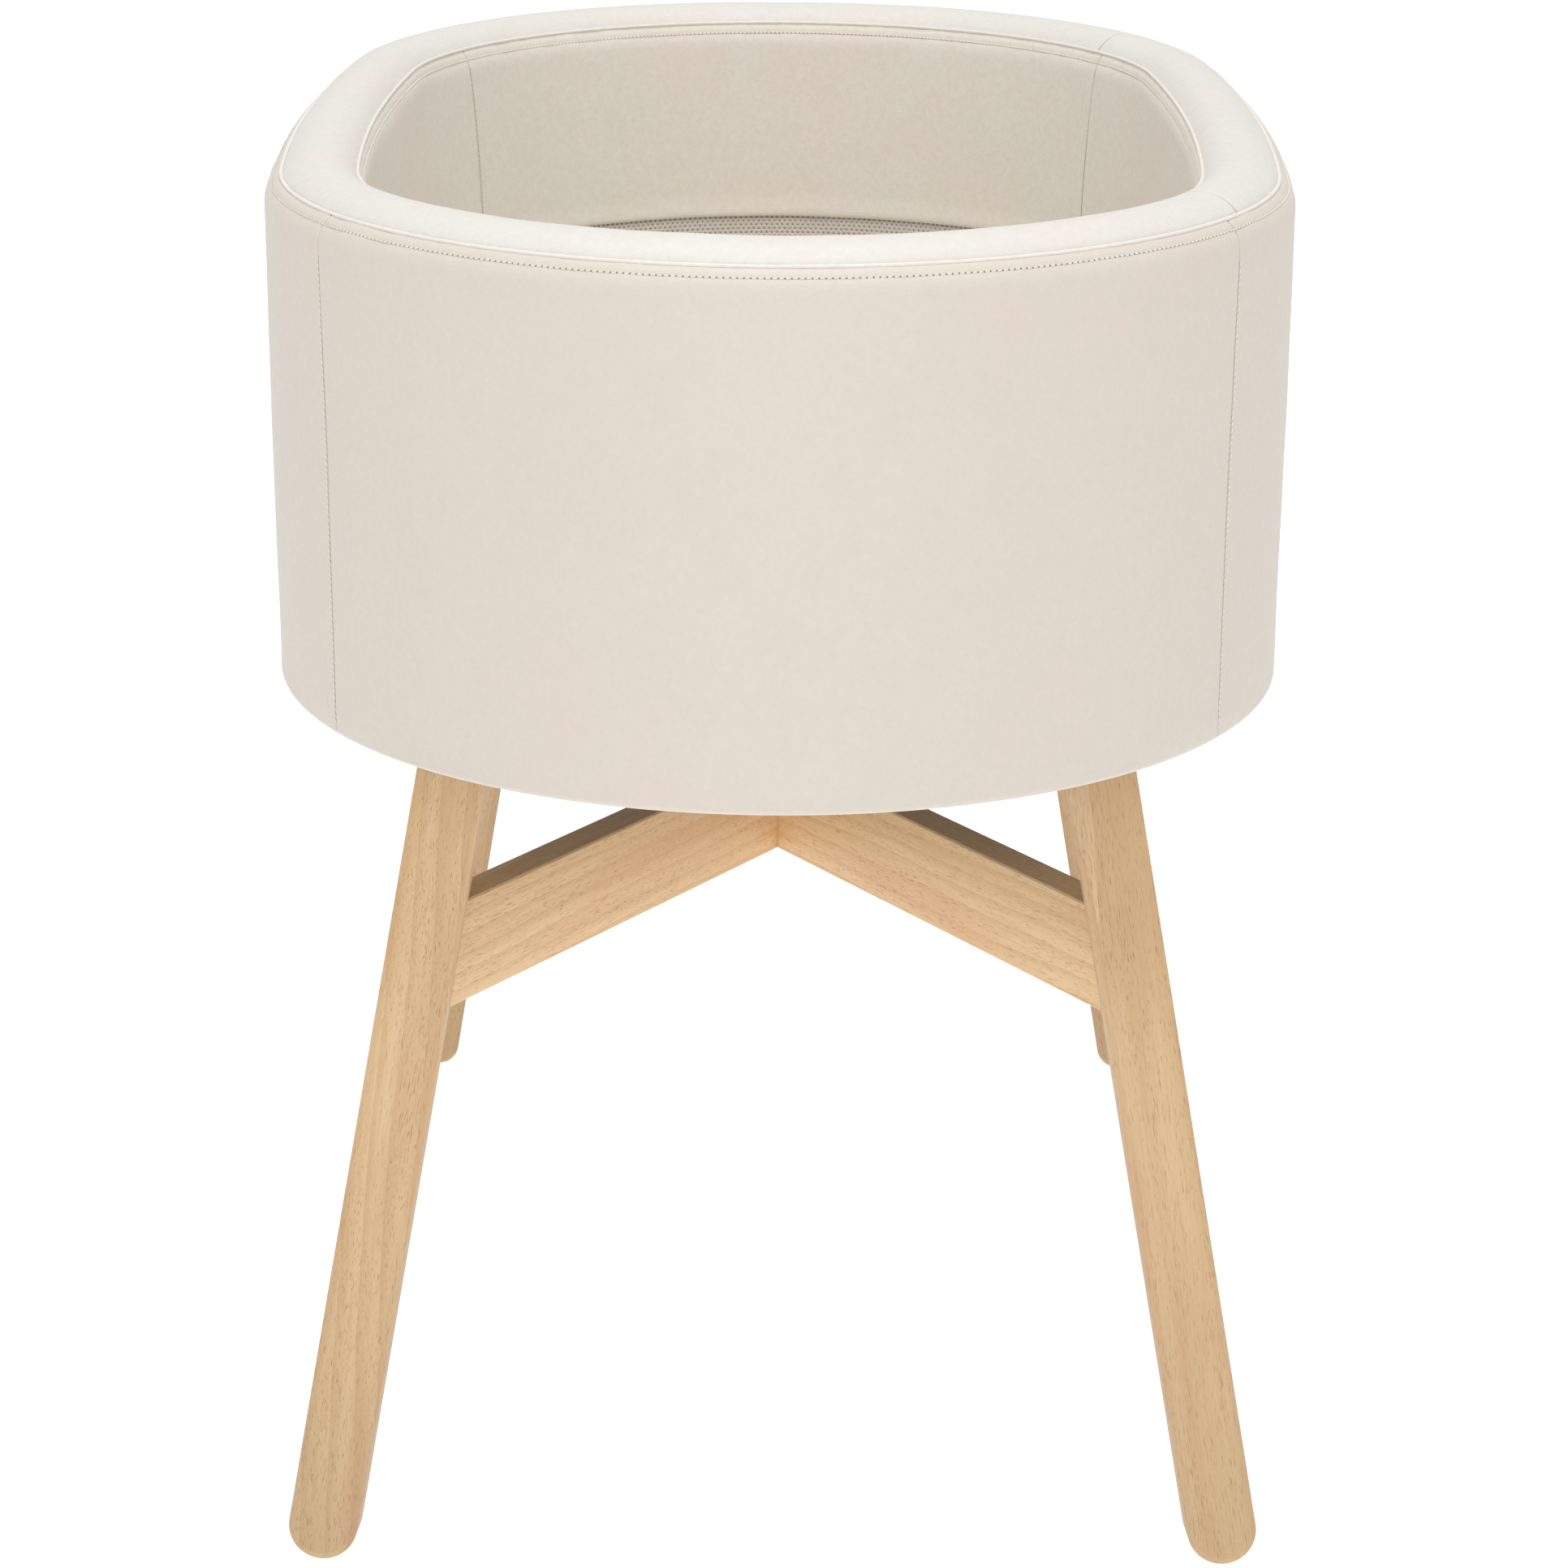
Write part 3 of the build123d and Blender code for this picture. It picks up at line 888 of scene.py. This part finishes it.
buildMeshBand()
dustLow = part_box("dust_cover")[0]
dust = {"lap": 0.003, "drop": 0.0004, "thickness": 0.0004}  # over the cover's hem, and under it
liningCloth = makeCloth("liningCloth", linear(226, 219, 208), linear(203, 194, 181), 0.0009)
dustCloth = makeCloth("dustCloth", linear(74, 71, 68), linear(52, 50, 48), 0.0012)
buildFlatCloth(
    "floor_lining_cloth", "floor_lining", wallDepth + 0.0002, floorHigh.z, 1, 0.0008,
    liningCloth, 0.0004)
buildFlatCloth(
    "dust_cover_cloth", "dust_cover", cover["hem"] - dust["lap"], dustLow.z - dust["drop"], -1,
    dust["thickness"], dustCloth, -0.0002)


staple = {
    "count": 64,
    "inset": 0.0042,  # from the dust cover's edge
    "length": 0.0105,
    "width": 0.0011,
    "thick": 0.0006,
    "round": 0.00018,
    "tilt": 0.12,
}


# Flat-backed staples round the edge of the dust cover
def buildStaples():
    shape = bmesh.new()
    depth = cover["hem"] - dust["lap"] + staple["inset"]
    for index in range(staple["count"]):
        turn = turnAfter(0.0, roundTotal * (index + 0.5) / staple["count"])
        tilt = staple["tilt"] * noise.noise(Vector((index * 1.7, 0.4, 2.2)))
        place = wallPoint(turn, depth, dustLow.z - dust["drop"] - 0.0001 - staple["thick"] * 0.35)
        size = Matrix.Diagonal((staple["width"], staple["length"], staple["thick"], 1))
        bmesh.ops.create_cube(
            shape, size=1.0, matrix=Matrix.Translation(place) @ Matrix.Rotation(turn + tilt, 4, "Z") @ size)
    bevel(shape, shape.edges, staple["round"])
    dress(shape, "dust_cover_staples", steel, "steel")


def makeMetal(name, base, roughness, brushed=1800.0):
    material, tree, shader = startMaterial(name, Metallic=1.0, Roughness=roughness)
    place = objectPlace(tree)
    scratch = noiseAt(tree, place, brushed, 3.0, 0.6)
    tarnish = noiseAt(tree, place, 60.0, 3.0)
    darker = [channel * 0.78 for channel in base[:3]]
    tree.links.new(blend(tree, tarnish, base, darker), shader.inputs["Base Color"])
    tree.links.new(spread(tree, scratch, roughness * 0.7, roughness * 1.35), shader.inputs["Roughness"])
    addBump(tree, shader, [(scratch, 0.15, 0.0001)])
    return material


steel = makeMetal("zincSteel", linear(198, 200, 203), 0.34)
blackSteel = makeMetal("blackSteel", linear(96, 97, 99), 0.42)
buildStaples()
print("mesh, floor lining and dust cover made")

# wood
wood = {
    "pale": linear(231, 200, 158),
    "mid": linear(221, 187, 142),
    "late": linear(206, 168, 122),
    "pink": linear(219, 172, 134),
    "pore": linear(166, 116, 78),
    "ring": 0.0088,  # width of a growth ring
    "waver": (0.022, 0.022, 0.0),
    "fibre": 700.0,  # streaks per metre across the grain: fine, broad, and patches
    "broad": 70.0,
    "patch": 26.0,
    "pores": 2900.0,
    "crowding": 120.0,
    "paintedShadeHeight": 0.36,  # painted shade: the wood is made a little darker from here down to the foot
    "edge": 0.0004,  # how far the edges are eased
    "crease": 25.0,  # edges sharper than this many degrees are eased
    "smooth": 18.0,
}


# Pale hardwood with its grain along axis; pith is the middle of its growth rings, off to one side. Each part's
# colour is also scaled by a gain and darkened towards the foot, as painted light and shade
def makeWood(name, origin, axis, seed, pith, lean, tone, paintedLightGain, paintedFootShade=1.0):
    material, tree, shader = startMaterial(name, Roughness=0.5, Specular_IOR_Level=0.35)
    grain = addNode(tree, "Mapping", {
        "Vector": objectPlace(tree), "Location": origin, "Rotation": axis.to_track_quat("Z", "Y").to_euler(),
    }, vector_type="TEXTURE").outputs[0]
    leaning = mapping(tree, grain, Location=(*pith, seed), Rotation=(*lean, 0))
    waver = addNode(tree, "TexNoise", {
        "Vector": mapping(tree, leaning, Scale=(14, 14, 3.2)), "Scale": 1.0, "Detail": 2.0})
    bend = addNode(
        tree, "VectorMath", {0: waver.outputs["Color"], 1: wood["waver"]}, operation="MULTIPLY")
    bent = addNode(
        tree, "VectorMath", {0: leaning, 1: bend.outputs[0]}, operation="ADD").outputs[0]
    ring = calc(tree, "FRACT", calc(tree, "DIVIDE", distance(tree, *parted(tree, bent)[:2]), wood["ring"]))
    late = calc(tree, "POWER", ring, 2.6)
    streaks = mapping(tree, bent, Scale=(1, 1, 0.035))
    fibre = noiseAt(tree, streaks, wood["fibre"], 4.0, 0.65)
    broad = noiseAt(tree, streaks, wood["broad"], 3.0)
    patch = noiseAt(tree, mapping(tree, leaning, Scale=(1, 1, 0.25)), wood["patch"], 3.0)
    colour = blend(tree, ramp(tree, broad, 0.3, 0.7), wood["pale"], wood["mid"])
    colour = tint(tree, late, 0.55, colour, wood["late"])
    colour = tint(tree, ramp(tree, patch, 0.48, 0.74), 0.55, colour, wood["pink"])
    colour = tint(tree, ramp(tree, fibre, 0.42, 0.72), 0.36, colour, wood["late"])
    colour = blend(tree, tone, colour, wood["late"])
    poreNoise = noiseAt(tree, mapping(tree, bent, Scale=(1, 1, 0.045)), wood["pores"], 1.0, 0.4)
    limit = calc(tree, "MULTIPLY_ADD", noiseAt(tree, streaks, wood["crowding"]), -0.16, 0.705)
    pore = ramp(tree, calc(tree, "SUBTRACT", poreNoise, limit), 0.0, 0.07)
    colour = tint(tree, pore, 0.62, colour, wood["pore"])
    # painted light and shade: the colour is scaled by the part's gain, and darkened down towards the foot
    along = parted(tree, grain)[2]
    shade = addNode(tree, "MapRange", {
        0: along, 1: 0.0, 2: wood["paintedShadeHeight"], 3: paintedLightGain * paintedFootShade, 4: paintedLightGain}).outputs[0]
    paintedLightFactor = addNode(tree, "CombineXYZ", {channel: shade for channel in range(3)}).outputs[0]
    tree.links.new(blend(tree, 1.0, colour, paintedLightFactor, "MULTIPLY"), shader.inputs["Base Color"])
    tree.links.new(spread(tree, fibre, 0.42, 0.6), shader.inputs["Roughness"])
    dent = calc(tree, "SUBTRACT", 1.0, pore)
    addBump(tree, shader, [(dent, 0.25, 0.0003), (fibre, 0.08, 0.0003)])
    return material


# A CAD node's shape as one clean mesh with its sharp edges eased; stands for the node
def easedCopy(node, width, material):
    shape = bmesh.new()
    shape.from_mesh(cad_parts[node].data)
    bmesh.ops.remove_doubles(shape, verts=shape.verts, dist=tiny)
    bmesh.ops.dissolve_limit(shape, angle_limit=math.radians(0.5), verts=shape.verts, edges=shape.edges)
    sharpest = math.radians(wood["crease"])
    sharp = [edge for edge in shape.edges if edge.is_manifold and edge.calc_face_angle(0.0) > sharpest]
    bevel(shape, sharp, width, clamp=True)
    for edge in shape.edges:
        edge.smooth = edge.calc_face_angle(0.0) < math.radians(wood["smooth"])
    dress(shape, node + "_wood", material, "leg_wood", node)


# The middle of a node's vertices between two heights
def middleNear(node, low, high):
    places = [vert.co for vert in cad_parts[node].data.vertices if low <= vert.co.z <= high]
    corners = [Vector(map(min, *places)), Vector(map(max, *places))]
    return (corners[0] + corners[1]) / 2


# each one's seed, pith, lean, tone, painted-light gain and, for a leg, the painted shade of its foot
grains = {
    "leg_near_left": (0.31, (0.006, 0.036), (0.075, 0.02), 0.0, 1.09, 0.71),
    "leg_near_right": (1.13, (0.07, 0.05), (0.01, 0.012), 0.04, 1.05, 0.76),
    "leg_far_left": (2.41, (-0.06, 0.06), (-0.02, 0.02), 0.12, 0.86, 0.9),
    "leg_far_right": (3.07, (0.05, -0.07), (0.02, -0.02), 0.12, 0.86, 0.9),
}
for node, look in grains.items():
    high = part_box(node)[1].z
    top = middleNear(node, high - 0.001, high)
    foot = middleNear(node, 0.0, 0.036)
    easedCopy(node, wood["edge"], makeWood("wood_" + node, foot, (top - foot).normalized(), *look))
boards = {
    "brace_left_to_right": (4.7, (0.01, 0.09), (0.012, 0.03), 0.03, 1.14),
    "brace_right_to_left": (5.9, (-0.015, 0.10), (0.01, -0.03), 0.0, 1.14),
}
for node, look in boards.items():
    low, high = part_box(node)
    slope = (high.y - low.y) / (high.x - low.x)
    sign = 1 if node == "brace_left_to_right" else -1
    axis = Vector((1, sign * slope, 0)).normalized()
    easedCopy(node, wood["edge"], makeWood("wood_" + node, (low + high) / 2, axis, *look))
print("wood made")

# hardware and the parts inside the wall
ply = {"layer": 0.004, "fibre": 300.0, "face": linear(214, 184, 141), "shade": linear(176, 138, 96)}


def makePlywood():
    material, tree, shader = startMaterial("plywood", Roughness=0.7)
    place = objectPlace(tree)
    layer = waves(tree, parted(tree, place)[2], ply["layer"])
    fibre = noiseAt(tree, mapping(tree, place, Scale=(1, 0.06, 1)), ply["fibre"], 4.0)
    mixed = calc(tree, "MULTIPLY_ADD", layer, 0.2, fibre, clamp=True)
    tree.links.new(blend(tree, mixed, ply["face"], ply["shade"]), shader.inputs["Base Color"])
    addBump(tree, shader, [(fibre, 0.2, 0.0004)])
    return material


zipMetal = makeMetal("zipMetal", linear(188, 186, 182), 0.3, 2600.0)
zipTape = makeCloth("zipTape", linear(222, 215, 204), linear(198, 189, 176), 0.0007)


def finish(node, material):
    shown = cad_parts[node]
    shown.data.materials.clear()
    shown.data.materials.append(material)


plywood = makePlywood()
for node in ("base_board", "shell_near", "shell_far", "shell_splices", "brace_dowels"):
    finish(node, plywood)
for corner in ("near_left", "near_right", "far_left", "far_right"):
    finish("leg_plate_" + corner, blackSteel)
for node in ("leg_screws", "plate_bolts", "shell_screws", "tee_nuts"):
    finish(node, steel)
print("hardware finished")

# mattress
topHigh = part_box("mattress_cover_top")[1]
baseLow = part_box("mattress_cover_base")[0]
zipLow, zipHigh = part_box("mattress_zip")
mattress = {
    "depth": halfWidth - topHigh.x,
    "slack": 0.0016,  # starting shape is this much smaller, because it swells
    "edge": 0.008,
    "around": 220,  # points round the starting shape
    "voxel": 0.0062,
    "quickVoxel": 0.010,
    "pressure": 3.0,
    "frames": 20,
    "cap": 0.005,  # furthest that the cloth may swell
    "quilt": 0.058,  # spacing of the quilting
    "quiltDip": 0.0021,
    "quiltWidth": 0.0042,
    "quiltEdge": (0.012, 0.02),  # plain border, and the width over which the quilting starts
    "zipRecess": 0.0010,
    "zipWidth": 0.0062,
    "seamDip": 0.0009,
    "seamWidth": 0.0022,
}
mattressLow, mattressHigh = baseLow.z, topHigh.z
zipMiddle = (zipLow.z + zipHigh.z) / 2


# Blows the pad up as cloth and keeps the result, with no point moved past the cap
def swell(piece):
    count = len(piece.data.vertices)
    before = [vert.co.copy() for vert in piece.data.vertices]
    cloth = piece.modifiers.new("cloth", "CLOTH")
    cloth.settings.quality = 6
    cloth.settings.use_pressure = True
    cloth.settings.uniform_pressure_force = mattress["pressure"]
    cloth.settings.effector_weights.gravity = 0
    cloth.point_cache.frame_start, cloth.point_cache.frame_end = 1, mattress["frames"]
    scene = bpy.context.scene
    for moment in range(1, mattress["frames"] + 1):
        scene.frame_set(moment)
    after = piece.evaluated_get(bpy.context.evaluated_depsgraph_get()).to_mesh()
    moved = [after.vertices[index].co.copy() for index in range(count)]
    piece.modifiers.remove(cloth)
    scene.frame_set(1)
    for vert, start, end in zip(piece.data.vertices, before, moved):
        shift = end - start
        if shift.length > mattress["cap"]:
            shift *= mattress["cap"] / shift.length
        vert.co = start + shift


# Depth of the diamond quilting's channels at a point of the top
def quiltDip(point):
    size = mattress["quilt"]
    first = abs(math.remainder(point.x + point.y, size)) / math.sqrt(2)
    second = abs(math.remainder(point.x - point.y, size)) / math.sqrt(2)
    return bell(min(first, second), mattress["quiltWidth"])


def buildMattress():
    inset = mattress["depth"] + mattress["slack"]
    shape = bmesh.new()
    count = mattress["around"]
    ring = bmesh.ops.create_circle(shape, cap_ends=True, segments=count, radius=1.0)["verts"]
    for index, vert in enumerate(ring):
        turn = turnAfter(0.0, roundTotal * index / count)
        vert.co = wallPoint(turn, inset, mattressLow + mattress["slack"] / 2)
    height = mattressHigh - mattressLow - mattress["slack"]
    grown = bmesh.ops.extrude_face_region(shape, geom=shape.faces[:])["geom"]
    bmesh.ops.translate(
        shape, vec=(0, 0, height), verts=[item for item in grown if isinstance(item, bmesh.types.BMVert)])
    bmesh.ops.recalc_face_normals(shape, faces=shape.faces)
    rims = [edge for edge in shape.edges if len({round(vert.co.z, 5) for vert in edge.verts}) == 1]
    bevel(shape, rims, mattress["edge"], segments=4)
    piece = asObject(shape, "mattress_pad")
    remesh = piece.modifiers.new("remesh", "REMESH")
    remesh.mode = "VOXEL"
    remesh.voxel_size = mattress["voxel"]
    bpy.context.view_layer.update()
    even = bpy.data.meshes.new_from_object(piece.evaluated_get(bpy.context.evaluated_depsgraph_get()))
    piece.modifiers.clear()
    piece.data = even
    swell(piece)
    shape = bmesh.new()
    shape.from_mesh(piece.data)
    bmesh.ops.subdivide_edges(shape, edges=shape.edges, cuts=1, use_grid_fill=True, smooth=1.0)
    shape.normal_update()
    border, start = mattress["quiltEdge"]
    for vert in shape.verts:
        turn = directionOf(vert.co)
        depth = depthAt(vert.co, turn)
        if vert.normal.z > 0.3:
            edgeFade = min(1.0, max(0.0, (depth - mattress["depth"] - border) / start))
            vert.co.z -= mattress["quiltDip"] * quiltDip(vert.co) * vert.normal.z * edgeFade
        if abs(vert.normal.z) < 0.6:
            above = vert.co.z - zipMiddle
            seam = mattress["seamDip"] * bell(above, mattress["seamWidth"])
            if vert.co.x > 0 and abs(vert.co.y) < zipHigh.y + 0.004:
                seam = mattress["zipRecess"] * min(1.0, bell(above, mattress["zipWidth"]) * 1.6)
            vert.co += outward(turn) * min(0.0, depth - mattress["depth"] - seam)
        vert.co.z = max(mattressLow, vert.co.z)
    bmesh.ops.recalc_face_normals(shape, faces=shape.faces)
    shape.to_mesh(piece.data)
    shape.free()
    for polygon in piece.data.polygons:
        polygon.use_smooth = True
    piece.data.materials.clear()
    piece.data.materials.append(makeTicking())
    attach(piece, "mattress")
    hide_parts("mattress_cover_top", "mattress_cover_base", "mattress_core")


ticking = {
    "weave": 0.0008,
    "stitch": 0.0048,
    "thread": 0.0006,
    "colour": linear(232, 227, 217),
    "shade": linear(214, 207, 195),
    "threadColour": linear(190, 180, 166),
}


# Cream cotton ticking with a fine weave and a thread in its quilting
def makeTicking():
    material, tree, shader = startMaterial("ticking", Roughness=0.85, Sheen_Weight=0.25)
    place = objectPlace(tree)
    parts = parted(tree, place)
    warp, weft, rise = [waves(tree, side, ticking["weave"]) for side in parts]
    weave = times(tree, calc(tree, "ADD", warp, weft), rise)
    slub = noiseAt(tree, place, 60.0, 4.0)
    colour = blend(tree, slub, ticking["colour"], ticking["shade"])
    lines = []
    for sign in (1.0, -1.0):
        slant = calc(tree, "MULTIPLY_ADD", parts[1], sign, parts[0])
        phase = calc(tree, "FRACT", calc(tree, "ADD", calc(tree, "DIVIDE", slant, mattress["quilt"]), 0.5))
        offset = times(tree, calc(tree, "SUBTRACT", phase, 0.5), mattress["quilt"])
        away = calc(tree, "ABSOLUTE", offset)
        run = calc(tree, "MULTIPLY_ADD", parts[1], -sign, parts[0])
        dash = calc(tree, "LESS_THAN", calc(tree, "FRACT", calc(tree, "DIVIDE", run, ticking["stitch"])), 0.7)
        lines.append(times(tree, calc(tree, "LESS_THAN", away, ticking["thread"]), dash))
    facing = parted(tree, addNode(tree, "NewGeometry").outputs["Normal"])[2]
    sewn = times(tree, calc(tree, "MAXIMUM", *lines), ramp(tree, facing, 0.6, 0.9))
    colour = tint(tree, sewn, 0.6, colour, ticking["threadColour"])
    tree.links.new(colour, shader.inputs["Base Color"])
    addBump(tree, shader, [(weave, 0.12, 0.0002), (slub, 0.2, 0.001), (sewn, 0.4, 0.0004)])
    return material


buildMattress()
print("mattress made")

# zip on the mattress's side
teeth = {
    "pitch": 0.0021,
    "tall": 0.0032,
    "wide": 0.0012,
    "proud": 0.00022,
    "sunk": 0.0004,
    "stagger": 0.0005,
    "round": 0.00025,
    "margin": 0.002,
}


# Moulded teeth down the middle of the zip's tape
def buildTeeth():
    shape = bmesh.new()
    length = zipHigh.y - zipLow.y - 2 * teeth["margin"]
    for index in range(int(length / teeth["pitch"])):
        across = zipLow.y + teeth["margin"] + (index + 0.5) * teeth["pitch"]
        turn = math.asin(across / (sideRadius - mattress["depth"]))
        height = zipMiddle + (teeth["stagger"] if index % 2 else -teeth["stagger"])
        middle = wallPoint(turn, mattress["depth"] + teeth["sunk"], height)
        size = Matrix.Diagonal((2 * (teeth["proud"] + teeth["sunk"]), teeth["wide"], teeth["tall"], 1))
        bmesh.ops.create_cube(
            shape, size=1.0, matrix=Matrix.Translation(middle) @ Matrix.Rotation(turn, 4, "Z") @ size)
    bevel(shape, shape.edges, teeth["round"], segments=1)
    dress(shape, "zip_teeth", zipCoil, "zip_coil", body="mattress", smooth=False)


zipCoil = makeTwoTone("zipCoil", 0.4, 0.0, 500.0, linear(228, 222, 212), linear(208, 200, 188), 500.0, 0.1)
buildTeeth()
finish("mattress_zip", zipTape)
finish("zip_slider", zipMetal)
print("zip made")

# camera, light and floor
view = {
    "place": (0.00561, -2.17280, 1.05131),
    "pitch": 0.3311,
    "yaw": 0.001,
    "roll": 0.0056,
    "lens": 93.17,
}
cameraData = bpy.data.cameras.new("camera")
cameraData.lens = view["lens"]
cameraData.sensor_width = 36
camera = bpy.data.objects.new("camera", cameraData)
bpy.context.scene.collection.objects.link(camera)
turned = Matrix.Rotation(view["yaw"], 4, "Z") @ Matrix.Rotation(quarter - view["pitch"], 4, "X")
camera.matrix_world = Matrix.Translation(view["place"]) @ turned @ Matrix.Rotation(view["roll"], 4, "Z")
bpy.context.scene.camera = camera
bpy.context.scene.view_settings.view_transform = "Standard"

studio = {
    "world": 0.62,
    "floor": linear(165, 165, 165),
    "floorSize": 24.0,
    "floorGlow": 0.84,
    "lamps": {  # place, aim, size and power
        "topLight": ((0, 0, 3.7), (0, 0, 0.6), 1.6, 34),
        "basketLight": ((0, -0.9, 2.6), (0, 0.3, 0.6), 1.0, 10),
        "frontLight": ((0, -3.4, 0.6), (0, 0, 0.3), 2.0, 15),
    },
}
world = bpy.data.worlds.new("studio")
world.use_nodes = True
world.node_tree.nodes["Background"].inputs[0].default_value = (1, 1, 1, 1)
world.node_tree.nodes["Background"].inputs[1].default_value = studio["world"]
bpy.context.scene.world = world

ground = bmesh.new()
bmesh.ops.create_grid(ground, x_segments=2, y_segments=2, size=studio["floorSize"] / 2)
floor = asObject(ground, "studioFloor", smooth=False)
paper = startMaterial(
    "paper", Roughness=0.9, Base_Color=studio["floor"], Emission_Color=(1, 1, 1, 1),
    Emission_Strength=studio["floorGlow"])[0]
floor.data.materials.append(paper)

for name, (place, aim, size, power) in studio["lamps"].items():
    light = bpy.data.lights.new(name, "AREA")
    light.shape = "DISK"
    light.size = size
    light.energy = power
    lamp = bpy.data.objects.new(name, light)
    bpy.context.scene.collection.objects.link(lamp)
    lamp.location = place
    lamp.rotation_euler = (Vector(aim) - Vector(place)).to_track_quat("-Z", "Y").to_euler()
print("studio made")

bpy.context.view_layer.update()
